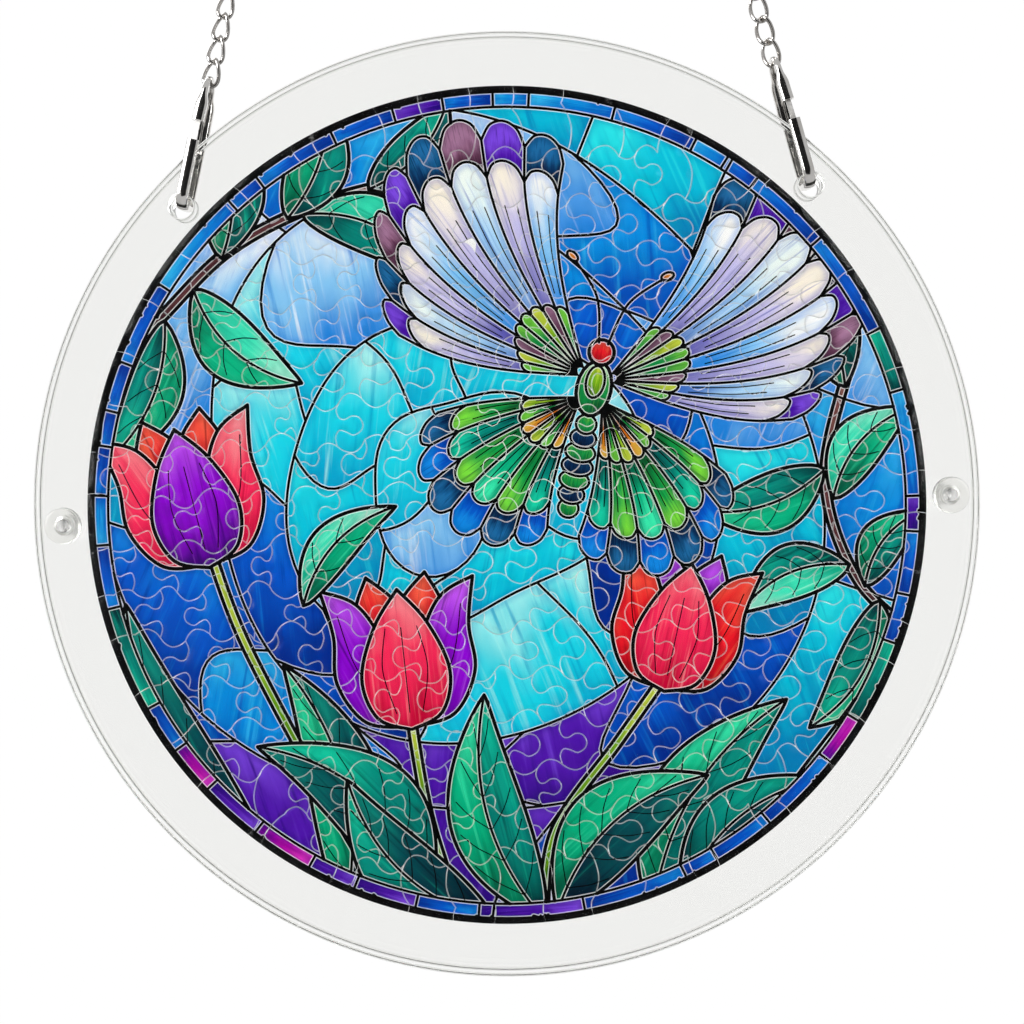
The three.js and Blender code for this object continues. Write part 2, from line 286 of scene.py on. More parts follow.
class Nodes:
    """A node material with short calls for its nodes and links."""

    def __init__(self, name):
        self.material = bpy.data.materials.new(name)
        self.material.use_nodes = True
        self.tree = self.material.node_tree
        self.shader = self.tree.nodes["Principled BSDF"]

    def add(self, kind, inputs=(), **settings):
        node = self.tree.nodes.new(kind)
        for key, value in settings.items():
            setattr(node, key, value)
        for key, value in dict(inputs).items():
            self.feed(node.inputs[key], value)
        return node

    def feed(self, socket, value):
        if isinstance(value, bpy.types.NodeSocket):
            self.tree.links.new(value, socket)
        elif hasattr(value, "__len__") and len(socket.default_value) == 4 and len(value) == 3:
            socket.default_value = (*value, 1)
        else:
            socket.default_value = value

    def set(self, **inputs):
        for key, value in inputs.items():
            self.feed(self.shader.inputs[key.replace("_", " ")], value)

    def math(self, operation, *values):
        return self.add("ShaderNodeMath", dict(enumerate(values)), operation=operation).outputs[0]

    def mix(self, factor, a, b):
        node = self.add("ShaderNodeMix", data_type="RGBA")
        self.feed(node.inputs[0], factor)
        self.feed(node.inputs[6], a)
        self.feed(node.inputs[7], b)
        return node.outputs[2]

    def ramp(self, value, low, high):
        """Zero below low, one above high and smooth between them."""
        node = self.add("ShaderNodeMapRange", interpolation_type="SMOOTHSTEP")
        self.feed(node.inputs["Value"], value)
        node.inputs["From Min"].default_value = low
        node.inputs["From Max"].default_value = high
        return node.outputs["Result"]

    def noise(self, vector, scale, detail):
        inputs = {"Vector": vector, "Scale": scale, "Detail": detail}
        return self.add("ShaderNodeTexNoise", inputs).outputs["Fac"]

    def scaled(self, vector, factors):
        node = self.add("ShaderNodeVectorMath", {0: vector, 1: factors}, operation="MULTIPLY")
        return node.outputs["Vector"]

    def attribute(self, name):
        return self.add("ShaderNodeAttribute", attribute_name=name)

    def bump(self, height, strength, distance):
        node = self.add("ShaderNodeBump", {"Height": height, "Strength": strength, "Distance": distance})
        self.feed(self.shader.inputs["Normal"], node.outputs["Normal"])


def clear_plastic(name, tint, roughness):
    nodes = Nodes(name)
    nodes.set(Base_Color=colour(tint), Roughness=roughness, IOR=1.49, Transmission_Weight=1.0)
    return nodes.material


def plated_metal(name, pale, dark, roughness, scratch_scale):
    """Bright plating with faint cloudiness and fine wear in its gloss."""
    nodes = Nodes(name)
    place = nodes.add("ShaderNodeTexCoord").outputs["Object"]
    cloud = nodes.noise(place, scratch_scale * 0.2, 3)
    grain = nodes.noise(place, scratch_scale, 2)
    nodes.set(
        Base_Color=nodes.mix(nodes.ramp(cloud, 0.35, 0.7), colour(pale), colour(dark)),
        Metallic=1.0,
        Roughness=nodes.math("MULTIPLY_ADD", grain, roughness, roughness * 0.6),
    )
    nodes.bump(grain, 0.04, 0.0002)
    return nodes.material


def printed_glass():
    """The picture: each pane runs from deep through main to pale along its own flow, with streaks."""
    nodes = Nodes("printed picture")
    deep, main, pale = (nodes.attribute(n).outputs["Color"] for n in ("deep", "main", "pale"))
    flow = nodes.attribute("flow").outputs["Vector"]
    whitened = nodes.attribute("whitened").outputs["Fac"]
    from_lead = nodes.attribute("from_lead").outputs["Fac"]
    parts = nodes.add("ShaderNodeSeparateXYZ", {"Vector": flow})
    wander = nodes.noise(nodes.scaled(flow, (1.6, 2.4, 1)), 1.0, 2)
    streak = nodes.noise(nodes.scaled(flow, (1.3, 13, 1)), 1.0, 4)
    thread = nodes.noise(nodes.scaled(flow, (3, 46, 1)), 1.0, 2)
    along = nodes.math("ADD", parts.outputs["X"], nodes.math("MULTIPLY", wander, 0.9))
    body = nodes.mix(nodes.ramp(along, 0.35, 1.0), deep, main)
    body = nodes.mix(nodes.ramp(along, 0.95, 1.55), body, pale)
    body = nodes.mix(nodes.math("MULTIPLY", nodes.ramp(streak, 0.54, 0.8), 0.7), body, pale)
    body = nodes.mix(nodes.math("MULTIPLY", nodes.ramp(streak, 0.46, 0.25), 0.75), body, deep)
    body = nodes.mix(nodes.math("MULTIPLY", nodes.ramp(thread, 0.62, 0.75), 0.25), body, deep)
    near_lead = nodes.ramp(from_lead, 2.6, 0.3)
    body = nodes.mix(nodes.math("MULTIPLY", near_lead, 0.42), body, deep)
    nodes.set(Base_Color=nodes.mix(whitened, body, (1, 1, 1)), Roughness=0.25, Specular_IOR_Level=0.1)
    return nodes.material


def printed_line(name, base):
    nodes = Nodes(name)
    nodes.set(Base_Color=colour(base), Roughness=0.25, Specular_IOR_Level=0.1)
    return nodes.material


panel_clear = clear_plastic("clear acrylic", "FFFFFE", 0.0)
rim_clear = clear_plastic("sawn acrylic rim", "ECEDE8", 0.3)
rivet_clear = clear_plastic("clear rivet", "FAFAF8", 0.25)
picture_material = printed_glass()
lead_material = printed_line("printed lead", "060709")
nickel = plated_metal("bright nickel", "E9E7E4", "D6D3CF", 0.10, 900)
spring = plated_metal("spring steel", "F4F3F1", "E4E2DE", 0.5, 1200)
chain_metal = plated_metal("chain plating", "CFCCC9", "B4B0AB", 0.12, 1500)


# Stage: a lit white wall behind, soft light from both sides, and a dark card in front that the
# camera doesn't see, and that shows only in gloss and through the clear panels

def screen(name, y, reach, below, above, nodes, hidden_from=()):
    """An upright sheet of the stage, in metres from the disc's centre."""
    low, high = disc_z * MM - below, disc_z * MM + above
    corners = [(-reach, y, low), (reach, y, low), (reach, y, high), (-reach, y, high)]
    piece = mesh_piece(name, [[c / MM for c in p] for p in corners], [(0, 1, 2, 3)], [nodes.material])
    for kind in hidden_from:
        setattr(piece, "visible_" + kind, False)


def stage():
    lit = Nodes("lit wall")
    lit.set(Base_Color=colour("050505"), Roughness=1.0, Specular_IOR_Level=0.0)
    lit.set(Emission_Color=(1, 1, 1), Emission_Strength=1.0)
    screen("lit_wall", wall_y, wall_reach, wall_reach, wall_reach, lit)
    dark = Nodes("dark card")
    dark.set(Base_Color=colour("050505"), Roughness=0.9)
    screen("dark_card", card_y, card_reach, card_below, card_above, dark,
           hidden_from=("camera", "diffuse", "shadow", "volume_scatter"))

    world = bpy.data.worlds.new("studio")
    bpy.context.scene.world = world
    world.use_nodes = True
    background = world.node_tree.nodes["Background"]
    background.inputs["Color"].default_value = (1, 1, 1, 1)
    background.inputs["Strength"].default_value = world_strength
    for number, (x, y, z, power) in enumerate(softboxes):
        light = bpy.data.lights.new(f"softbox_{number}", "AREA")
        light.shape = "RECTANGLE"
        light.size = softbox_width
        light.size_y = softbox_height
        light.energy = power
        softbox = bpy.data.objects.new(f"softbox_{number}", light)
        bpy.context.scene.collection.objects.link(softbox)
        softbox.visible_glossy = x < 0
        softbox.location = (x, y, z)
        aim = Vector((0, 0, disc_z * MM)) - softbox.location
        softbox.rotation_euler = aim.to_track_quat("-Z", "Y").to_euler()
    bpy.context.scene.view_settings.view_transform = "Standard"


def camera():
    data = bpy.data.cameras.new("camera")
    data.sensor_width = sensor_width
    data.lens = sensor_width * focal_pixels / image_size
    data.clip_start = 0.01
    view = bpy.data.objects.new("camera", data)
    bpy.context.scene.collection.objects.link(view)
    tilt = math.radians(camera_elevation)
    back = Vector((0, -math.cos(tilt), math.sin(tilt)))
    target = Vector((camera_target_x, front_face, disc_z + camera_target_z)) * MM
    view.location = target + back * camera_distance * MM
    turn = (-back).to_track_quat("-Z", "Y").to_matrix().to_4x4()
    roll = Matrix.Rotation(math.radians(camera_roll), 4, "Z")
    view.matrix_world = Matrix.Translation(view.location) @ turn @ roll
    bpy.context.scene.camera = view


# Clear panels

def panel(name, near, far, node):
    """A round plate between two depths, its rim and holes chamfered."""
    holes = [(-hole_x, hole_rise, hanging_hole_radius), (hole_x, hole_rise, hanging_hole_radius),
             (-rivet_circle, 0, rivet_hole_radius), (rivet_circle, 0, rivet_hole_radius)]
    rims = [(0, 0, disc_radius, circle_steps, -1)] + [(x, z, r, hole_steps, 1) for x, z, r in holes]
    flat, edges = [], []
    for x, z, radius, steps, outward in rims:
        start = len(flat)
        flat += circle(x, z, radius + outward * panel_chamfer, steps)
        edges += [(start + i, start + (i + 1) % steps) for i in range(steps)]
    found = delaunay_2d_cdt([Vector(p) for p in flat], edges, [], 0, 1e-6, True)
    points = [tuple(p) for p in found[0]]
    place = {source: i for i, sources in enumerate(found[3]) for source in sources}
    triangles = []
    for face in found[2]:
        cx = sum(points[i][0] for i in face) / 3
        cz = sum(points[i][1] for i in face) / 3
        in_hole = any(math.hypot(cx - x, cz - z) < r + panel_chamfer for x, z, r in holes)
        if math.hypot(cx, cz) < disc_radius - panel_chamfer and not in_hole:
            triangles.append(tuple(face))
    vertices, faces = [], []
    count = len(points)
    for depth in (near, far):
        vertices += [(x, depth, z + disc_z) for x, z in points]
    for a, b, c in triangles:
        faces.append((a, b, c))
        faces.append((count + c, count + b, count + a))
    start = 0
    for x, z, radius, steps, outward in rims:
        outer = circle(x, z, radius, steps)
        first = len(vertices)
        vertices += [(p, near + panel_chamfer, q + disc_z) for p, q in outer]
        vertices += [(p, far - panel_chamfer, q + disc_z) for p, q in outer]
        for i in range(steps):
            j = (i + 1) % steps
            a, b = place[start + i], place[start + j]
            rows = [(a, b), (first + i, first + j)]
            rows += [(first + steps + i, first + steps + j), (count + a, count + b)]
            for (p, q), (r, s) in zip(rows, rows[1:]):
                faces.append((p, r, s, q) if outward < 0 else (p, q, s, r))
        start += steps
    slots = [0] * (2 * len(triangles)) + [1] * (len(faces) - 2 * len(triangles))
    piece = mesh_piece(name, vertices, faces, [panel_clear, rim_clear], smooth=True, face_slots=slots)
    sharpen(piece, 30)
    dress(piece, BODY, "clear_acrylic", node)


def lathe(profile, steps):
    """A turned form about Y from (radius, depth) points that start and end on the axis."""
    vertices = [(0, profile[0][1], 0), (0, profile[-1][1], 0)]
    rings = profile[1:-1]
    for radius, depth in rings:
        for i in range(steps):
            turn = 2 * math.pi * i / steps
            vertices.append((radius * math.cos(turn), depth, radius * math.sin(turn)))
    faces = []
    last = 2 + (len(rings) - 1) * steps
    for i in range(steps):
        j = (i + 1) % steps
        faces.append((0, 2 + i, 2 + j))
        faces.append((1, last + j, last + i))
        for k in range(len(rings) - 1):
            a = 2 + k * steps
            faces.append((a + i, a + steps + i, a + steps + j, a + j))
    return vertices, faces


def box_faces(low, high):
    vertices = [(x, y, z) for x in (low[0], high[0]) for y in (low[1], high[1]) for z in (low[2], high[2])]
    faces = [(0, 1, 3, 2), (4, 6, 7, 5), (0, 4, 5, 1), (2, 3, 7, 6), (0, 2, 6, 4), (1, 5, 7, 3)]
    return vertices, faces


def cut_away(piece, cutter):
    """Cuts one closed mesh out of another and removes the cutter."""
    change = piece.modifiers.new("cut", "BOOLEAN")
    change.operation = "DIFFERENCE"
    change.solver = "EXACT"
    change.object = cutter
    graph = bpy.context.evaluated_depsgraph_get()
    result = bpy.data.meshes.new_from_object(piece.evaluated_get(graph))
    piece.modifiers.clear()
    piece.data = result
    bpy.data.objects.remove(cutter)


def rivet(side, direction):
    """A clear snap rivet: a rounded button head with a shallow dish, a shank and a split barb."""
    seat = -half_sandwich - rivet_seat_gap
    catch = half_sandwich + rivet_seat_gap
    top = seat - rivet_head_thickness
    end = catch + rivet_barb_length
    head, bend = rivet_head_radius, rivet_head_round
    dish, dish_top = rivet_dish_radius, top + rivet_dish_depth
    turns = [math.pi / 2 * step / 6 for step in range(7)]
    arc = [(head - bend + bend * math.sin(t), top + bend - bend * math.cos(t)) for t in turns]
    profile = [
        (0, dish_top), (dish - 0.8, dish_top), (dish - 0.4, top + 0.05), (dish, top), *arc, (head, seat),
        (rivet_shank_radius, seat), (rivet_shank_radius, catch), (rivet_barb_radius, catch),
        (rivet_barb_radius, catch + rivet_barb_length / 4), (rivet_shank_radius * 0.7, end), (0, end),
    ]
    vertices, faces = lathe(profile, rivet_steps)
    x = direction * rivet_circle
    piece = mesh_piece(f"{side}_snap_rivet", [(p + x, q, r + disc_z) for p, q, r in vertices], faces,
                       [rivet_clear], smooth=True)
    slot_start = end - panel_thickness - rivet_barb_length + 1
    low = (x - rivet_slot_width / 2, slot_start, disc_z - 2 * rivet_barb_radius)
    high = (x + rivet_slot_width / 2, end + 1, disc_z + 2 * rivet_barb_radius)
    cutter = mesh_piece("slot_cutter", *box_faces(low, high), [rivet_clear])
    cut_away(piece, cutter)
    sharpen(piece, 35)
    dress(piece, BODY, "clear_rivet", f"{side}_rivet")


# Snap hooks and gates. The hook's own frame has x across the band, depth along Y and height up,
# with the hanging hole's centre at the origin, and is leaned over to follow the chain.

def rail_face(height):
    return clasp_half_space - clasp_lean_rate * max(0, height - clasp_tip_height)


def rounded_path(corners):
    """Points and outward directions along straight runs joined by round corners."""
    path = []
    for i, (depth, height, radius) in enumerate(corners):
        before = corners[i - 1] if i else None
        after = corners[i + 1] if i + 1 < len(corners) else None
        arriving = unit(depth - before[0], height - before[1]) if before else None
        leaving = unit(after[0] - depth, after[1] - height) if after else arriving
        arriving = arriving or leaving
        if not radius:
            middle = unit(arriving[0] + leaving[0], arriving[1] + leaving[1])
            path.append(((depth, height), (middle[1], -middle[0])))
            continue
        cross = arriving[0] * leaving[1] - arriving[1] * leaving[0]
        turn = math.atan2(cross, arriving[0] * leaving[0] + arriving[1] * leaving[1])
        reach = radius * math.tan(abs(turn) / 2)
        side = math.copysign(1, cross)
        start = (depth - arriving[0] * reach, height - arriving[1] * reach)
        centre = (start[0] - arriving[1] * side * radius, start[1] + arriving[0] * side * radius)
        for step in range(clasp_corner_steps + 1):
            angle = math.degrees(turn) * step / clasp_corner_steps
            dx, dy = turned(start[0] - centre[0], start[1] - centre[1], angle)
            ax, ay = turned(*arriving, angle)
            path.append(((centre[0] + dx, centre[1] + dy), (ay, -ax)))
    return path


def finely(path, step):
    """The same path with extra points on its straight runs."""
    result = [path[0]]
    for (p, n), (q, m) in zip(path, path[1:]):
        length = math.hypot(q[0] - p[0], q[1] - p[1])
        parts = max(1, int(length / step))
        for k in range(1, parts + 1):
            t = k / parts
            point = (p[0] + (q[0] - p[0]) * t, p[1] + (q[1] - p[1]) * t)
            result.append((point, unit(n[0] + (m[0] - n[0]) * t, n[1] + (m[1] - n[1]) * t)))
    return result


def clasp_section(width):
    """A folded channel with a crowned outer face, open to the inside of the loop."""
    half = width / 2
    side_height = clasp_rail_depth - clasp_crown
    outer = [(-half, 0), (-half, side_height * 0.6)]
    for step in range(13):
        turn = math.pi * step / 12
        outer.append((-half * math.cos(turn) * 0.999, side_height + clasp_crown * math.sin(turn)))
    outer += [(half, side_height * 0.6), (half, 0)]
    inner_half = half - clasp_sheet
    inner = [(inner_half, 0), (inner_half, side_height - 0.1)]
    for step in range(1, 6):
        turn = math.pi * step / 6
        inner.append((inner_half * math.cos(turn), side_height - 0.1 + 0.1 * math.sin(turn)))
    inner += [(-inner_half, side_height - 0.1), (-inner_half, 0)]
    return outer + inner


def band_width(height):
    start = clasp_length - clasp_rail_depth - 2 * clasp_eye_radius
    share = min(1, max(0, (height - start) / clasp_eye_radius))
    share = share * share * (3 - 2 * share)
    return clasp_rail_width + (clasp_eye_band_width - clasp_rail_width) * share


def rod(radius, length, steps=24):
    """A rod along X centred on the origin."""
    return tube([[(x, y, z) for y, z in circle(0, 0, radius, steps)] for x in (-length / 2, length / 2)])


def hook_place(direction):
    """From the hook's own frame, in millimetres, to the row frame."""
    lean = Matrix.Rotation(-direction * side_lean, 4, "Y")
    z = disc_z + hole_rise
    return Matrix.Translation((direction * hole_x, 0, z)) @ lean


def clasp_form():
    inside, eye = clasp_half_space, clasp_eye_half_width
    top = clasp_length - clasp_rail_depth
    path = rounded_path([
        (-inside, clasp_tip_height, 0),
        (-inside, clasp_rail_depth, clasp_corner_radius),
        (inside, clasp_rail_depth, clasp_corner_radius),
        (inside, clasp_tip_height, 0),
        (eye, top, clasp_eye_radius),
        (-eye, top, clasp_eye_radius),
        (-rail_face(clasp_bar_end_height), clasp_bar_end_height, 0),
    ])
    rings = []
    for (depth, height), (out_y, out_z) in finely(path, clasp_straight_step):
        rings.append([(across, depth + out_y * out, height + out_z * out - clasp_seat_height)
                      for across, out in clasp_section(band_width(height))])
    return tube(rings)


def gate_pin_place():
    return (0, -(rail_face(gate_pin_height) + gate_depth_in_rail), gate_pin_height - clasp_seat_height)


def clasp(side, direction):
    pin = moved(rod(gate_pin_radius, clasp_rail_width - clasp_sheet), *gate_pin_place())
    form = placed(joined(clasp_form(), pin), hook_place(direction))
    form_piece(f"{side}_snap_hook", form, nickel, 40, "bright_nickel", f"{side}_clasp")


def gate_form():
    """A sprung strip with a knuckle that wraps the pin, hanging down into the hook's tip."""
    tip = gate_pin_height - gate_reach
    spread = rail_face(tip) - rail_face(gate_pin_height)
    bore = gate_pin_radius + gate_pin_clearance
    knuckle = bore + gate_knuckle_wall
    length = math.hypot(gate_reach, spread)
    lean = math.atan2(spread, gate_reach)
    half = gate_thickness / 2
    steps = gate_knuckle_steps
    loop = []
    start = math.asin(half / knuckle)
    for i in range(steps + 1):
        turn = -math.pi / 2 + start + (2 * math.pi - 2 * start) * i / steps
        loop.append((knuckle * math.cos(turn), knuckle * math.sin(turn)))
    loop += [(-half, -length + half), (-half * 0.6, -length), (half * 0.6, -length), (half, -length + half)]
    flat = [Vector(p) for p in loop + circle(0, 0, bore, steps)]
    count = len(loop)
    edges = [(i, (i + 1) % count) for i in range(count)]
    edges += [(count + i, count + (i + 1) % steps) for i in range(steps)]
    found = delaunay_2d_cdt(flat, edges, [], 0, 1e-7, False)
    triangles = []
    for face in found[2]:
        cy = sum(found[0][i].x for i in face) / 3
        cz = sum(found[0][i].y for i in face) / 3
        radius = math.hypot(cy, cz)
        on_strip = abs(cy) < half and -length < cz < 0 and radius > bore
        if bore < radius < knuckle or on_strip:
            triangles.append(tuple(face))
    vertices = []
    for x in (-gate_width / 2, gate_width / 2):
        for p in found[0]:
            y, z = turned(p.x, p.y, -math.degrees(lean))
            vertices.append((x, y, z))
    total = len(found[0])
    faces = triangles + [tuple(total + i for i in reversed(t)) for t in triangles]
    sides = [side for a, b, c in triangles for side in ((a, b), (b, c), (c, a))]
    faces += [(q, p, total + p, total + q) for p, q in sides if (q, p) not in sides]
    return vertices, faces


def gate(side, direction):
    form = placed(moved(gate_form(), *gate_pin_place()), hook_place(direction))
    form_piece(f"{side}_spring_gate", form, spring, 30, "spring_steel", f"{side}_gate", f"{side}_gate")


# Chain

def link_form(end_twist):
    """One oval link of round wire along Z, its ends turned about its length either way."""
    rings = []
    for i in range(link_steps):
        along = math.pi / 2 + 2 * math.pi * i / link_steps
        c, s = math.cos(along), math.sin(along)
        across = link_half_width * math.copysign(abs(c) ** link_roundness, c)
        up = link_half_length * math.copysign(abs(s) ** link_roundness, s)
        nx, nz = unit(c / link_half_width, s / link_half_length)
        ring = []
        for out, side in circle(0, 0, wire_radius, wire_steps):
            x, y = turned(across + out * nx, side, end_twist * up / link_half_length)
            ring.append((x, y, up + out * nz))
        rings.append(ring)
    return tube(rings, closed=True)


def chain_side(side, direction):
    place = Matrix.Translation((direction * chain_start_x, 0, chain_start_z))
    place = place @ Matrix.Rotation(-direction * side_lean, 4, "Y")
    forms = []
    link = link_form(link_end_twist)
    for i in range(links_per_side):
        turn = chain_top_turn + (chain_bottom_turn - chain_top_turn) * i / (links_per_side - 1)
        drop = first_link_start + link_half_length + i * link_pitch
        spot = place @ Matrix.Translation((0, 0, -drop)) @ Matrix.Rotation(math.radians(turn), 4, "Z")
        forms.append(placed(link, spot))
    form_piece(f"{side}_curb_chain", joined(*forms), chain_metal, None, "chain_steel", f"{side}_chain")


def middle_link():
    spot = Matrix.Translation((0, 0, middle_link_z)) @ Matrix.Rotation(math.pi / 2, 4, "Y")
    form_piece("hanging_link", placed(link_form(0), spot), chain_metal, None, "chain_steel", "middle_link")


# The picture: shapes in the disc's own plane, x to the right and z up from its centre, painted in
# order, each with a lead line along its edge

border_width = 3.6
black_rim_width = 2.0
border_outer = board_radius - black_rim_width
picture_radius = border_outer - border_width
piece_edge_chamfer = 0.12
kerf_half_width = 0.05
lead_half_width = {"main": 0.49, "fine": 0.36, "vein": 0.15}
pale_line_width = 0.24
pale_line_whiteness = 0.6
cut_edge_whiteness = 0.42
shade_step = 2.1
curve_step = 1.5
cap_steps = 4
flow_spacing = 3.7

# Each tint runs from deep through main to pale
TINTS = {
    "aqua": ("0082BC", "00CAE2", "2CECEE"),
    "pool": ("00A6D2", "16DAEC", "B4FAF6"),
    "azure": ("0050BC", "0090E2", "34C4F4"),
    "cobalt": ("002C92", "0058CE", "0C8EE8"),
    "mist": ("1E86E0", "8ACCF8", "FFFFFF"),
    "violet": ("240678", "5214B0", "8048E4"),
    "magenta": ("5A0090", "B400A8", "E030C4"),
    "teal": ("003038", "008E80", "12DAAE"),
    "emerald": ("005A40", "00BA86", "3CF2B8"),
    "deep leaf": ("021A2C", "034C56", "0E9C8A"),
    "mint": ("00A884", "3CE8BE", "CCFFEE"),
    "coral": ("C80034", "FC2A5C", "FF9AA0"),
    "red": ("90000E", "F01426", "FF6A4C"),
    "purple": ("3A0074", "9400D8", "D460FC"),
    "pearl": ("5C5AB4", "CCC6F0", "FFF6E6"),
    "ice": ("2460C0", "AEDAFA", "F6FFFA"),
    "lime": ("265A08", "80C018", "EEFA4E"),
    "green": ("06502A", "10A84C", "84EA40"),
    "amber": ("8A3404", "F48610", "FFD84E"),
    "plum": ("2C1222", "6A3A58", "A8789A"),
    "bark": ("2A1018", "6C363A", "A8685C"),
    "night": ("020A1E", "07305E", "1C6CA6"),
}

shapes = []
lines = []


def spline(points, step=curve_step):
    """A smooth curve through the points, sampled about every step."""
    points = [Vector(p) for p in points]
    count = len(points)
    result = []
    for i in range(count - 1):
        a, b, c, d = points[max(i - 1, 0)], points[i], points[i + 1], points[min(i + 2, count - 1)]
        parts = max(3, int(round((c - b).length / step)))
        for k in range(parts):
            t = k / parts
            bend, twist = 2 * a - 5 * b + 4 * c - d, 3 * b - a - 3 * c + d
            result.append(0.5 * (2 * b + (c - a) * t + bend * t * t + twist * t**3))
    result.append(points[-1])
    return [(p.x, p.y) for p in result]


def chained(*curves):
    """Curves joined end to end, where each starts at the end of the one before."""
    result = []
    for curve in curves:
        result += spline(curve)[:-1]
    return result


def add_shape(loop, tint, flow_from, flow_to, line="main", spread=None):
    """A closed shape of one tint that runs deep to pale from one point to another."""
    start, end = Vector(flow_from), Vector(flow_to)
    along = end - start
    length = max(along.length, 1e-6)
    shapes.append({
        "loop": np.array(loop), "tint": tint, "start": tuple(start), "along": tuple(along / length),
        "length": length, "spread": spread or 0.35 * length, "seed": len(shapes),
    })
    if line:
        add_line(loop, line, closed=True)


def add_line(points, kind, closed=False):
    """A lead line or vein that lies under every shape added after it."""
    points = [tuple(p) for p in points]
    lines.append({"points": points, "kind": kind, "closed": closed, "order": len(shapes)})


def local(place, angle, scale):
    """From a motif's own coordinates to the picture's."""
    def to_picture(points):
        result = []
        for x, y in points:
            u, v = turned(x * scale, y * scale, angle)
            result.append((u + place[0], v + place[1]))
        return result
    return to_picture


def leaf(base, tip, width, bow, light, dark, veins=3):
    """A leaf in two halves along a bowed midrib, with fine veins."""
    base, tip = Vector(base), Vector(tip)
    along = tip - base
    across = Vector((-along.y, along.x)).normalized()
    steps = max(8, int(along.length / curve_step))
    spine, sides = [], {1: [], -1: []}
    for i in range(steps + 1):
        t = i / steps
        point = base + along * t + across * bow * along.length * 4 * t * (1 - t)
        half = width / 2 * math.sin(math.pi * t**0.85) ** 0.85 if 0 < t < 1 else 0
        spine.append(point)
        for side in sides:
            sides[side].append(point + across * side * half)
    for side, tint in ((1, light), (-1, dark)):
        loop = spine + sides[side][-2:0:-1]
        add_shape([tuple(p) for p in loop], tint, base, tip, line=None, spread=width)
    add_line(spine, "fine")
    for side in sides:
        add_line(sides[side], "main")
        for k in range(veins):
            t = (k + 0.9) / (veins + 1.6)
            start, end = spine[int(t * steps)], sides[side][min(steps - 1, int((t + 0.2) * steps))]
            middle = start.lerp(end, 0.5) + along.normalized() * -0.05 * width
            add_line(spline([tuple(start), tuple(middle), tuple(start.lerp(end, 0.82))]), "vein")


def stem(points, width, tint):
    """A stalk of even width along a curve."""
    middle = [Vector(p) for p in spline(points)]
    left, right = [], []
    for i, p in enumerate(middle):
        q = middle[min(i + 1, len(middle) - 1)] - middle[max(i - 1, 0)]
        normal = Vector((-q.y, q.x)).normalized() * width / 2
        left.append(tuple(p + normal))
        right.append(tuple(p - normal))
    add_shape(left + right[::-1], tint, middle[0], middle[-1], spread=2 * width)


def tulip(place, height, angle, outer, inner, front):
    """An upright cup of five pointed petals, its base at the place."""
    to = local(place, angle, height)
    for side in (1, -1):
        back = chained(
            to([(0, 0.3), (0.2 * side, 0.5), (0.3 * side, 0.78), (0.2 * side, 1.04)]),
            to([(0.2 * side, 1.04), (0.02 * side, 0.86), (-0.08 * side, 0.6), (0, 0.3)]),
        )
        add_shape(back, inner, *to([(0, 0.2), (0.18 * side, 1.1)]))
    for side in (1, -1):
        petal = chained(
            to([(0, 0), (0.3 * side, 0.06), (0.47 * side, 0.34), (0.46 * side, 0.66), (0.52 * side, 0.98)]),
            to([(0.52 * side, 0.98), (0.28 * side, 0.86), (0.12 * side, 0.55), (0, 0)]),
        )
        add_shape(petal, outer, *to([(0.05 * side, 0), (0.45 * side, 1.0)]))
        add_line(spline(to([(0.1 * side, 0.14), (0.32 * side, 0.42), (0.42 * side, 0.8)])), "vein")
    middle = chained(
        to([(0, -0.02), (-0.22, 0.08), (-0.3, 0.36), (-0.18, 0.7), (0, 0.94)]),
        to([(0, 0.94), (0.18, 0.7), (0.3, 0.36), (0.22, 0.08), (0, -0.02)]),
    )
    add_shape(middle, front, *to([(0, 0.0), (0, 0.95)]))
    for lean in (-0.09, 0, 0.09):
        add_line(spline(to([(lean, 0.1), (lean * 1.7, 0.4), (lean * 1.2, 0.68)])), "vein")


def wing(root, first, last, count, reach, tints, splits, bend):
    """A fan of cells between two angles. reach gives the length at a share of the fan, and tints one
    list for each ring of cells, from the root outwards."""
    root = Vector(root)

    def ray(share, s):
        angle = first + (last - first) * share + bend * s * s
        x, y = turned(reach(share) * s, 0, angle)
        return (root.x + x, root.y + y)

    def across(share_a, share_b, s, bulge):
        steps = 6
        points = []
        for k in range(steps + 1):
            out = math.sin(math.pi * k / steps) ** 0.6 if 0 < k < steps else 0
            points.append(ray(share_a + (share_b - share_a) * k / steps, s * (1 + bulge * out)))
        return points

    bulge = 0.05 + 0.22 / count
    for ring in range(len(splits) - 1):
        s0, s1 = splits[ring], splits[ring + 1]
        for i in range(count):
            a, b = i / count, (i + 1) / count
            out = [ray(a, s0 + (s1 - s0) * k / 3) for k in range(4)]
            back = [ray(b, s1 + (s0 - s1) * k / 3) for k in range(4)]
            near = across(b, a, s0, bulge) if s0 > 0.05 else [ray(b, s0), ray(a, s0)]
            loop = chained(out, across(a, b, s1, bulge), back, near)
            middle = (a + b) / 2
            tint = tints[ring][i % len(tints[ring])]
            add_shape(loop, tint, ray(middle, s0), ray(middle, s1), line=None)
    for ring in range(len(splits) - 1):
        s0, s1 = splits[ring], splits[ring + 1]
        for i in range(count):
            add_line(spline(across(i / count, (i + 1) / count, s1, bulge)), "fine")
            if s1 - s0 > 0.3:
                for lean in (-0.18, 0.2):
                    share = (i + 0.5 + lean) / count
                    add_line(spline([ray(share, s0 + (s1 - s0) * k) for k in (0.15, 0.5, 0.8)]), "vein")
    for i in range(count + 1):
        whole = [ray(i / count, splits[0] + (splits[-1] - splits[0]) * k / 6) for k in range(7)]
        add_line(spline(whole), "fine")


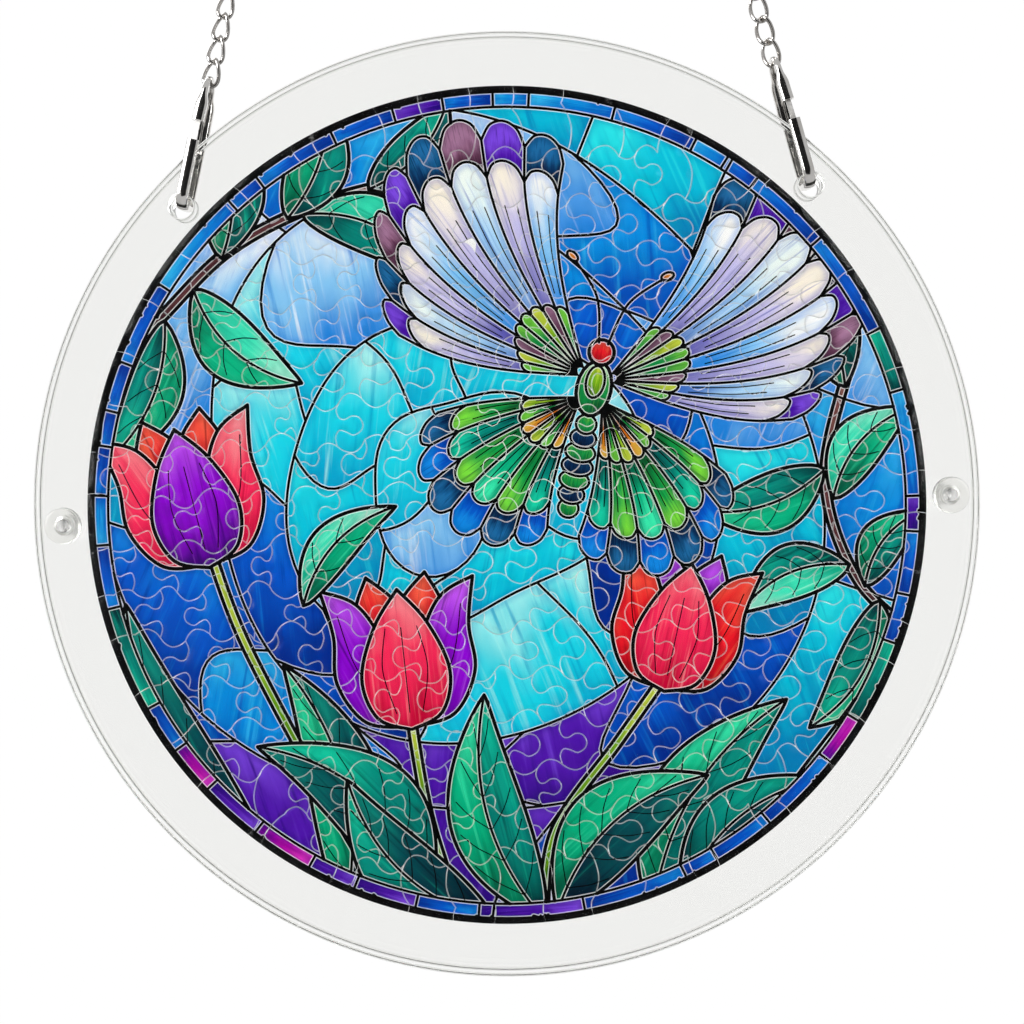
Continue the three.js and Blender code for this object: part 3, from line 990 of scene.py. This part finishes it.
def oval(place, half_width, half_height, angle, tint, line="fine"):
    to = local(place, angle, 1)
    loop = to([(half_width * x, half_height * y) for x, y in circle(0, 0, 1, 20)])
    add_shape(loop, tint, *to([(0, -half_height), (0, half_height)]), line=line)


def butterfly(place, angle, size):
    """Seen from above with its wings spread, head up in its own coordinates."""
    to = local(place, angle, size)
    for side in (-1, 1):
        def flip(degrees):
            return angle + (degrees if side > 0 else 180 - degrees)
        low_root = to([(0.05 * side, -0.02)])[0]
        wing(low_root, flip(-12), flip(-82), 6, lambda t: size * (0.62 + 0.12 * math.sin(3.4 * t)),
             [["lime", "green", "amber"], ["green", "teal", "green", "emerald"], ["night", "cobalt"]],
             [0.04, 0.36, 0.8, 1.0], -6 * side)
        high_root = to([(0.05 * side, 0.08)])[0]
        wing(high_root, flip(-10), flip(62), 8,
             lambda t: size * (0.8 + 0.36 * math.sin(2.3 * t + 0.25) ** 2),
             [["green", "lime", "plum", "green"], ["pearl", "ice", "pearl", "mist"],
              ["violet", "night", "plum"]],
             [0.04, 0.3, 0.86, 1.0], 10 * side)
    for k in range(7):
        y = -0.5 + 0.062 * k
        half = 0.03 + 0.013 * math.sin(math.pi * (k + 1) / 8) * 3
        place_k = to([(0, y)])[0]
        oval(place_k, half * size, 0.042 * size, angle, "night" if k % 2 else "green")
    oval(to([(0, 0.03)])[0], 0.075 * size, 0.12 * size, angle, "green", "main")
    oval(to([(0, 0.06)])[0], 0.04 * size, 0.07 * size, angle, "lime", "fine")
    oval(to([(0, 0.19)])[0], 0.055 * size, 0.055 * size, angle, "red", "main")
    for side in (-1, 1):
        add_line(spline(to([(0.02 * side, 0.23), (0.07 * side, 0.42), (0.2 * side, 0.56)])), "fine")
        oval(to([(0.21 * side, 0.57)])[0], 0.016 * size, 0.028 * size, angle - 60 * side, "amber", "fine")


def background():
    """Panes between wavy rings and rays round a point left of the middle, mostly blue, and purple at
    the bottom."""
    draw = random.Random(11)
    focus = Vector((-14, 10))
    rings = [0, 24, 46, 70, 95, 150]
    counts = [3, 7, 10, 12, 13]
    wobble = [[draw.uniform(-1, 1) for _ in range(4)] for _ in rings]

    def radius(ring, turn):
        if ring in (0, len(rings) - 1):
            return rings[ring]
        a, b, c, d = wobble[ring]
        return rings[ring] + 5 * math.sin(2 * turn + 3 * a) + 3.5 * math.sin(3 * turn + 3 * b) + 2 * c

    def point(ring_radius, turn):
        return (focus.x + ring_radius * math.cos(turn), focus.y + ring_radius * math.sin(turn))

    def ray(ring, turn, bend, share):
        inner, outer = radius(ring, turn), radius(ring + 1, turn)
        return point(inner + (outer - inner) * share, turn + bend * math.sin(math.pi * share))

    def arc(ring, first, last):
        steps = max(4, int(abs(last - first) * rings[ring] / 2.5))
        turns = [first + (last - first) * k / steps for k in range(steps + 1)]
        return [point(radius(ring, t), t) for t in turns]

    found_lines = []
    for ring, count in enumerate(counts):
        starts = [2 * math.pi * (i + draw.uniform(-0.22, 0.22)) / count + 0.4 * ring for i in range(count)]
        bends = [draw.uniform(-0.26, 0.26) for _ in range(count)]
        for i in range(count):
            a, b = starts[i], starts[(i + 1) % count] + (2 * math.pi if i == count - 1 else 0)
            bend_a, bend_b = bends[i], bends[(i + 1) % count]
            side = [ray(ring, a, bend_a, k / 12) for k in range(13)]
            edge = arc(ring + 1, a, b)
            loop = side[:-1] + edge + [ray(ring, b, bend_b, 1 - k / 12) for k in range(1, 12)]
            loop += arc(ring, b, a)[:-1] if ring else [ray(ring, b, bend_b, 0)]
            found_lines += [side, edge]
            middle = Vector(point((rings[ring] + min(rings[ring + 1], 100)) / 2, (a + b) / 2))
            if middle.y < -60:
                choices = ["magenta", "violet", "magenta", "violet", "cobalt"]
            elif middle.length < 52 and middle.x < 30:
                choices = ["aqua", "pool", "aqua", "pool", "mist"]
            elif middle.y > 40:
                choices = ["azure", "pool", "mist", "aqua", "azure"]
            elif middle.x > 40:
                choices = ["azure", "aqua", "azure", "aqua", "cobalt"]
            else:
                choices = ["azure", "aqua", "pool", "cobalt"]
            tilt = draw.uniform(-0.5, 0.5)
            down = Vector((math.sin(tilt), math.cos(tilt))) * 22
            add_shape(loop, draw.choice(choices), middle - down, middle + down, line=None,
                      spread=draw.uniform(18, 28))
    for points in found_lines:
        add_line(points, "fine")


def sprig(stalk, width, leaves):
    """A stalk with leaves given as base, tip, width, bow and the tints of both halves."""
    stem(stalk, width, "bark")
    for base, tip, leaf_width, bow, light, dark in leaves:
        leaf(base, tip, leaf_width, bow, light, dark)


def motifs():
    sprig([(-116, 34), (-94, 52), (-72, 72), (-46, 84), (-18, 90)], 2.6, [
        ((-90, 54), (-108, 16), 15, 0.12, "emerald", "teal"),
        ((-82, 62), (-54, 36), 17, -0.14, "mint", "emerald"),
        ((-92, 55), (-104, 84), 15, 0.1, "teal", "deep leaf"),
        ((-74, 70), (-76, 108), 17, -0.12, "emerald", "teal"),
        ((-52, 81), (-18, 62), 16, 0.16, "mint", "teal"),
        ((-56, 80), (-44, 112), 16, -0.1, "emerald", "teal"),
        ((-34, 87), (-12, 110), 15, -0.12, "teal", "deep leaf"),
    ])
    sprig([(112, -40), (94, -22), (86, 6), (94, 38)], 2.4, [
        ((92, 30), (74, 62), 16, -0.12, "emerald", "teal"),
        ((86, 8), (52, -2), 16, 0.12, "emerald", "teal"),
        ((88, 0), (110, 24), 14, 0.14, "mint", "emerald"),
        ((92, -18), (62, -30), 15, -0.14, "mint", "teal"),
        ((96, -24), (112, -4), 12, 0.14, "emerald", "teal"),
        ((100, -28), (80, -62), 16, 0.14, "emerald", "teal"),
    ])
    for base, tip, width, bow, light, dark in [
        ((-66, -100), (-104, -22), 22, 0.1, "teal", "deep leaf"),
        ((-48, -108), (-62, -40), 20, -0.12, "emerald", "deep leaf"),
        ((62, -100), (98, -48), 20, -0.12, "teal", "deep leaf"),
        ((36, -112), (74, -54), 22, 0.12, "emerald", "teal"),
    ]:
        leaf(base, tip, width, bow, light, dark, veins=5)

    stem([(-34, -110), (-54, -72), (-72, -34), (-80, -10)], 2.4, "lime")
    stem([(-16, -112), (-24, -84), (-28, -56)], 2.4, "lime")
    stem([(6, -112), (10, -88), (28, -64), (40, -48)], 2.4, "lime")
    for base, tip, width, bow, light, dark in [
        ((-26, -110), (-70, -62), 24, -0.18, "deep leaf", "teal"),
        ((-8, -112), (-46, -72), 20, 0.14, "teal", "deep leaf"),
        ((6, -112), (-8, -50), 21, 0.12, "emerald", "teal"),
        ((10, -110), (52, -74), 23, 0.14, "emerald", "deep leaf"),
        ((44, -108), (84, -76), 18, 0.14, "teal", "deep leaf"),
    ]:
        leaf(base, tip, width, bow, light, dark, veins=5)
    tulip((-81, -12), 40, 12, "coral", "red", "purple")
    tulip((-28, -58), 40, 4, "purple", "red", "coral")
    tulip((41, -50), 37, -14, "red", "purple", "coral")
    leaf((-56, -24), (-30, 2), 12, 0.14, "mint", "emerald", veins=2)
    butterfly((24, 30), -14, 62)


def border():
    """A ring of coloured blocks between the picture and the black rim."""
    draw = random.Random(5)
    turn = 0.0
    ends = []
    while turn < 359.9:
        width = draw.choice([5, 7, 9, 12, 15])
        end = turn + width
        if 360 - end < 5:
            end = 360
        middle = math.radians((turn + end) / 2)
        low = math.sin(middle) < -0.55
        tint = draw.choice(["violet", "violet", "cobalt", "magenta"] if low else
                           ["cobalt", "cobalt", "azure", "violet", "azure", "teal"])
        steps = max(2, int((end - turn) / 1.5))
        loop = []
        for radius, first, last in ((picture_radius, turn, end), (border_outer, end, turn)):
            for k in range(steps + 1):
                angle = math.radians(first + (last - first) * k / steps)
                loop.append((radius * math.cos(angle), radius * math.sin(angle)))
        x, y = math.cos(middle), math.sin(middle)
        centre = Vector((x, y)) * (picture_radius + border_outer) / 2
        side = Vector((-y, x)) * picture_radius * math.radians(end - turn) / 2
        add_shape(loop, tint, centre - side, centre + side, line=None, spread=3)
        ends.append(turn)
        turn = end
    for turn in ends:
        x, y = math.cos(math.radians(turn)), math.sin(math.radians(turn))
        add_line([(x * r, y * r) for r in (picture_radius, border_outer)], "fine")
    add_line(circle(0, 0, picture_radius, 240), "fine", closed=True)


# From shapes and lines to flat triangles

def inside(loop, points):
    """Which of the points lie inside a closed loop."""
    x, y = points[:, 0][:, None], points[:, 1][:, None]
    a, b = loop, np.roll(loop, -1, axis=0)
    crosses = (a[:, 1] > y) != (b[:, 1] > y)
    rise = np.where(b[:, 1] == a[:, 1], 1e-12, b[:, 1] - a[:, 1])
    at = (b[:, 0] - a[:, 0]) * (y - a[:, 1]) / rise + a[:, 0]
    return (crosses & (x < at)).sum(1) % 2 == 1


def in_boxes(low, high, points):
    return ((points >= low) & (points <= high)).all(1)


def hidden_at(points, order):
    """Which of the points lie under a shape added after the order, or outside the picture."""
    result = np.zeros(len(points), bool)
    low, high = points.min(0), points.max(0)
    for shape in shapes[order:]:
        if (shape["low"] > high).any() or (shape["high"] < low).any():
            continue
        near = in_boxes(shape["low"], shape["high"], points) & ~result
        if near.any():
            result[near] = inside(shape["loop"], points[near])
    return result


def visible_runs(line):
    """The parts of a line that no later shape covers, cut exactly at the edges of those shapes."""
    points = np.array(line["points"] + (line["points"][:1] if line["closed"] else []))
    hidden = hidden_at(points, line["order"])
    runs, run = [], []
    for i in range(len(points)):
        if i and hidden[i] != hidden[i - 1]:
            a, b = points[i - 1], points[i]
            for _ in range(12):
                middle = (a + b) / 2
                if hidden_at(middle[None], line["order"])[0] == hidden[i - 1]:
                    a = middle
                else:
                    b = middle
            run.append(tuple(a))
            if hidden[i]:
                runs.append(run)
                run = []
        if not hidden[i]:
            run.append(tuple(points[i]))
        else:
            run = []
    if run:
        runs.append(run)
    pieces = []
    for run in runs:
        start = 0
        for i in range(1, len(run) - 1):
            before = Vector(run[i]) - Vector(run[i - 1])
            after = Vector(run[i + 1]) - Vector(run[i])
            if before.normalized().dot(after.normalized()) < 0.5:
                pieces.append(run[start:i + 1])
                start = i
        pieces.append(run[start:])
    return [p for p in pieces if len(p) > 1 and math.dist(p[0], p[-1]) + len(p) * 0.2 > 0.6]


def outline_of(points, half_width):
    """Both sides of a line at a distance, with round ends, as one closed loop."""
    clean = [Vector(points[0])]
    for p in points[1:]:
        if (Vector(p) - clean[-1]).length > 0.05:
            clean.append(Vector(p))
    if len(clean) < 2:
        return None
    normals = []
    for a, b in zip(clean, clean[1:]):
        d = (b - a).normalized()
        normals.append(Vector((-d.y, d.x)))
    left, right = [], []
    for i, p in enumerate(clean):
        before, after = normals[max(i - 1, 0)], normals[min(i, len(normals) - 1)]
        m = before + after
        m = m / max(0.35, 1 + before.dot(after))
        left.append(p + m * half_width)
        right.append(p - m * half_width)

    def cap(centre, start):
        turns = [turned(start.x, start.y, -180 * k / cap_steps) for k in range(1, cap_steps)]
        return [centre + Vector(turn) * half_width for turn in turns]

    loop = left + cap(clean[-1], normals[-1]) + right[::-1] + cap(clean[0], -normals[0])
    return [(p.x, p.y) for p in loop]


# Jigsaw cuts

cut_width = 12.7
cut_height = 12.6
cut_jitter = 1.5
cut_rim_margin = 4.5
cut_calm_margin = 7
cut_step = 0.9
smallest_piece_area = 4


def knob(size, lean):
    """A round knob on a line from (0, 0) to (1, 0)."""
    return [(0, 0), (0.2, -0.05 * size), (0.36 + lean, 0.03 * size), (0.33 + lean, 0.2 * size),
            (0.27 + lean, 0.36 * size), (0.37 + lean, 0.53 * size), (0.53 + lean, 0.57 * size),
            (0.68 + lean, 0.47 * size), (0.7 + lean, 0.3 * size), (0.62 + lean, 0.16 * size),
            (0.64 + lean, 0.02 * size), (0.82, -0.06 * size), (1, 0)]


def arch(size, lean):
    """One half of a wave, as high as a third of its length at size 1."""
    return [(0, 0), (0.2, 0.2 * size), (0.5 + lean, 0.31 * size), (0.8, 0.2 * size), (1, 0)]


def cut_curve(start, end, form, size, lean):
    """A cut between two corners, its form drawn across the line that joins them."""
    start, end = Vector(start), Vector(end)
    along = end - start
    across = Vector((-along.y, along.x))
    points = [start + along * x + across * y for x, y in form(size, lean)]
    return spline(points, cut_step)


def jigsaw_cuts():
    """Cut lines of a jigsaw of offset rows, every corner a meeting of three cuts."""
    draw = random.Random(23)
    rows = int(board_radius / cut_height) + 2
    columns = int(board_radius / cut_width) + 2
    corner = {}
    for j in range(-rows, rows + 1):
        for k in range(-2 * columns, 2 * columns + 1):
            x = k * cut_width / 2 + draw.uniform(-cut_jitter, cut_jitter)
            y = (j - 0.5) * cut_height + draw.uniform(-cut_jitter, cut_jitter)
            corner[j, k] = (x, y)

    def kept(j, k):
        """Whether the cell of row j centred on column k is wholly a piece."""
        return math.hypot(k * cut_width / 2, j * cut_height) < board_radius - cut_rim_margin

    # Knobs of a row point away from one column, so that no two face each other
    turning = {j: draw.randint(-columns, columns // 2) for j in range(-rows, rows + 1)}
    cuts = []
    for (j, k), place in corner.items():
        # Above line j lies row j, and below it row j - 1. A row's cells are centred where k + j is even.
        if (j, k + 1) in corner:
            above = k if (k + j) % 2 == 0 else k + 1
            below = k + 1 if (k + j) % 2 == 0 else k
            if kept(j, above) and kept(j - 1, below):
                cuts.append((place, corner[j, k + 1], arch, -1 if (k + j) % 2 else 1))
        if (k + j) % 2 and (j + 1, k) in corner and kept(j, k - 1) and kept(j, k + 1):
            cuts.append((place, corner[j + 1, k], knob, 1 if k < turning[j] else -1))
        # The three cells that meet at the corner
        if (k + j) % 2:
            around = [(j, k - 1), (j, k + 1), (j - 1, k)]
        else:
            around = [(j - 1, k - 1), (j - 1, k + 1), (j, k)]
        if sum(kept(*cell) for cell in around) == 2:
            out = Vector(place).normalized() * (board_radius + 1)
            cuts.append((place, tuple(out), arch, draw.choice([0.6, -0.6])))
    curves = []
    for start, end, form, way in cuts:
        size = way * draw.uniform(0.85, 1.1)
        if form is knob:
            size *= 0.9 if way > 0 else 1.02
        if max(math.hypot(*start), math.hypot(*end)) > board_radius - cut_calm_margin:
            form, size = arch, 0.5 * size
        curves.append(cut_curve(start, end, form, size, draw.uniform(-0.04, 0.04)))
    return curves


def sampled(points, step):
    """Points along a line no further apart than the step."""
    result = []
    for a, b in zip(points, points[1:]):
        parts = max(1, int(math.dist(a, b) / step))
        x, y = b[0] - a[0], b[1] - a[1]
        result += [(a[0] + x * k / parts, a[1] + y * k / parts) for k in range(parts)]
    result.append(tuple(points[-1]))
    return result


def distances(runs, points):
    """How far each point lies from the nearest of the lines."""
    samples = [p for run in runs for p in sampled(run, 0.12)]
    tree = kdtree.KDTree(len(samples))
    for i, (x, y) in enumerate(samples):
        tree.insert((x, y, 0), i)
    tree.balance()
    return np.array([tree.find((x, y, 0))[2] for x, y in points])


def open_spots(leads, cuts):
    """Points spread over the panes, clear of every lead and cut, that carry the shading."""
    spots = []
    steps = int(board_radius / shade_step)
    for i in range(-steps, steps + 1):
        for j in range(-steps, steps + 1):
            x, y = (i + 0.5 * (j % 2)) * shade_step, j * shade_step
            if math.hypot(x, y) < border_outer - 1:
                spots.append((x, y))
    clear = (distances(leads, spots) > 1.1) & (distances(cuts, spots) > 0.5)
    return [p for p, free in zip(spots, clear) if free]


def arrangement():
    """The whole board as flat triangles: the points, the triangles, whether each is lead, the shape
    it lies in and whether it is a pale line, and how far each point is from the nearest lead."""
    for shape in shapes:
        shape["low"], shape["high"] = shape["loop"].min(0), shape["loop"].max(0)
    runs = {kind: [] for kind in lead_half_width}
    for line in lines:
        runs[line["kind"]] += visible_runs(line)
    cuts = jigsaw_cuts()
    cut_half = kerf_half_width + piece_edge_chamfer
    loops = []
    for kind, half in lead_half_width.items():
        for run in runs[kind]:
            loops.append(outline_of(run, half))
            if kind != "vein":
                loops.append(outline_of(run, half + pale_line_width))
    for cut in cuts:
        loops.append(outline_of(cut, cut_half))
    rim_radius = board_radius - piece_edge_chamfer
    for radius in (rim_radius, border_outer, border_outer - pale_line_width):
        loops.append(circle(0, 0, radius, 360))
    leads = runs["main"] + runs["fine"]
    vertices = [Vector(p) for p in open_spots(leads, cuts)]
    edges = []
    for loop in filter(None, loops):
        start = len(vertices)
        vertices += [Vector(p) for p in loop]
        edges += [(start + i, start + (i + 1) % len(loop)) for i in range(len(loop))]
    found = delaunay_2d_cdt(vertices, edges, [], 0, 1e-4, False)
    points = np.array([tuple(p) for p in found[0]])
    triangles = np.array([tuple(f) for f in found[2]])
    centres = points[triangles].mean(1)
    radius = np.hypot(*centres.T)
    kept = (radius < rim_radius) & (distances(cuts, centres) > cut_half)
    triangles, centres, radius = triangles[kept], centres[kept], radius[kept]
    is_lead = radius > border_outer - 0.01
    is_pale = radius > border_outer - pale_line_width - 0.01
    for kind, half in lead_half_width.items():
        away = distances(runs[kind], centres)
        is_lead |= away < half
        if kind != "vein":
            is_pale |= away < half + pale_line_width
    cell = np.zeros(len(centres), int)
    for number, shape in enumerate(shapes):
        near = in_boxes(shape["low"], shape["high"], centres)
        hit = np.flatnonzero(near)[inside(shape["loop"], centres[near])]
        cell[hit] = number
    return points, triangles, is_lead, cell, is_pale & ~is_lead, distances(leads, points)


def boundary_of(triangles):
    """Directed edges that only one triangle uses, with the triangle of each."""
    edges = np.concatenate([triangles[:, [0, 1]], triangles[:, [1, 2]], triangles[:, [2, 0]]])
    owner = np.tile(np.arange(len(triangles)), 3)
    size = int(triangles.max()) + 1
    key = edges[:, 0].astype(np.int64) * size + edges[:, 1]
    opposite = edges[:, 1].astype(np.int64) * size + edges[:, 0]
    alone = ~np.isin(key, opposite)
    return edges[alone], owner[alone]


def connected(points, triangles):
    """A number for each triangle that all triangles joined to it share."""
    parent = list(range(len(points)))

    def root(i):
        while parent[i] != i:
            parent[i] = parent[parent[i]]
            i = parent[i]
        return i

    for a, b, c in triangles.tolist():
        ra, rb, rc = root(a), root(b), root(c)
        parent[rb] = ra
        parent[root(rc)] = ra
    return np.array([root(a) for a in triangles[:, 0].tolist()])


def store(mesh, name, kind, domain, field, values):
    mesh.attributes.new(name, kind, domain).data.foreach_set(field, values.ravel())


def puzzle_row(name, points, triangles, is_lead, cell, pale, from_lead, pushed):
    """Some of the jigsaw's pieces as one mesh: front, chamfers, walls and back."""
    used, flat = np.unique(triangles, return_inverse=True)
    flat = flat.reshape(-1, 3)
    count = len(used)
    layers = ((points, board_front), (pushed, board_front + piece_edge_chamfer),
              (pushed, board_front + board_thickness - piece_edge_chamfer),
              (points, board_front + board_thickness))
    vertices = np.concatenate([
        np.column_stack([p[used, 0], np.full(count, depth), p[used, 1] + disc_z]) for p, depth in layers
    ])
    edges, owner = boundary_of(flat)
    a, b = edges[:, 0], edges[:, 1]
    faces, owners, is_edge = [flat, flat[:, ::-1] + 3 * count], [np.arange(len(flat))] * 2, [0, 0]
    for layer in range(3):
        near, far = layer * count, (layer + 1) * count
        faces.append(np.column_stack([b + near, a + near, a + far]))
        faces.append(np.column_stack([b + near, a + far, b + far]))
        owners += [owner, owner]
        is_edge += [1, 1]
    is_edge = np.concatenate([np.full(len(f), e) for f, e in zip(faces, is_edge)])
    faces, owners = np.concatenate(faces), np.concatenate(owners)
    whitened = np.where(is_edge == 1, cut_edge_whiteness, np.where(pale[owners], pale_line_whiteness, 0.0))
    mesh = bpy.data.meshes.new(name)
    mesh.vertices.add(len(vertices))
    mesh.vertices.foreach_set("co", (vertices * MM).ravel())
    mesh.loops.add(faces.size)
    mesh.loops.foreach_set("vertex_index", faces.ravel())
    mesh.polygons.add(len(faces))
    mesh.polygons.foreach_set("loop_start", np.arange(0, faces.size, 3))
    mesh.polygons.foreach_set("loop_total", np.full(len(faces), 3))
    for material in (picture_material, lead_material):
        mesh.materials.append(material)
    mesh.polygons.foreach_set("material_index", is_lead[owners].astype(np.int32))
    mesh.update(calc_edges=True)
    mesh.validate()

    numbers = np.repeat(cell[owners], 3)
    for index, key in enumerate(("deep", "main", "pale")):
        table = np.array([(*colour(TINTS[s["tint"]][index]), 1) for s in shapes])
        store(mesh, key, "FLOAT_COLOR", "CORNER", "color", table[numbers])
    start, along, length, spread, seed = (
        np.array([s[key] for s in shapes])[numbers] for key in ("start", "along", "length", "spread", "seed")
    )
    away = points[used][faces.ravel() % count] - start
    u = (away * along).sum(1) / length
    v = (away[:, 1] * along[:, 0] - away[:, 0] * along[:, 1]) / spread
    flow = np.column_stack([u, v, seed * flow_spacing])
    store(mesh, "flow", "FLOAT_VECTOR", "CORNER", "vector", flow)
    store(mesh, "whitened", "FLOAT", "CORNER", "value", np.repeat(whitened, 3))
    store(mesh, "from_lead", "FLOAT", "POINT", "value", np.tile(from_lead[used], len(layers)))
    piece = bpy.data.objects.new(name, mesh)
    bpy.context.scene.collection.objects.link(piece)
    return piece


def puzzle():
    background()
    motifs()
    border()
    points, triangles, is_lead, cell, pale, from_lead = arrangement()
    a, b, c = (points[triangles[:, i]] for i in range(3))
    area = (b[:, 0] - a[:, 0]) * (c[:, 1] - a[:, 1]) - (b[:, 1] - a[:, 1]) * (c[:, 0] - a[:, 0])
    triangles[area < 0] = triangles[area < 0][:, ::-1]
    group = connected(points, triangles)
    centre = {}
    for number in np.unique(group):
        mask = group == number
        if np.abs(area[mask]).sum() / 2 > smallest_piece_area:
            centre[number] = np.average(points[triangles[mask]].mean(1)[:, 1], weights=np.abs(area[mask]))
    edges, _ = boundary_of(triangles)
    step = points[edges[:, 1]] - points[edges[:, 0]]
    step /= np.maximum(np.hypot(*step.T), 1e-9)[:, None]
    normal = np.column_stack([step[:, 1], -step[:, 0]])
    total = np.zeros_like(points)
    np.add.at(total, edges[:, 0], normal)
    np.add.at(total, edges[:, 1], normal)
    size = np.maximum((total**2).sum(1), 1.0)[:, None]
    pushed = points + total * 2 / size * piece_edge_chamfer
    rows = {}
    for number, z in centre.items():
        rows.setdefault(int(round(z / cut_height)), []).append(number)
    for order, row in enumerate(sorted(rows, reverse=True)):
        mask = np.isin(group, rows[row])
        piece = puzzle_row(f"puzzle_row_{order + 1:02d}", points, triangles[mask], is_lead[mask],
                           cell[mask], pale[mask], from_lead, pushed)
        dress(piece, BODY, "printed_puzzle", *(["puzzle_board"] if order == 0 else []))


# Build

camera()
stage()
panel("front_clear_panel", front_face, front_face + panel_thickness, "front_panel")
panel("back_clear_panel", -front_face - panel_thickness, -front_face, "back_panel")
for side, direction in SIDES:
    rivet(side, direction)
    clasp(side, direction)
    gate(side, direction)
    chain_side(side, direction)
middle_link()
puzzle()
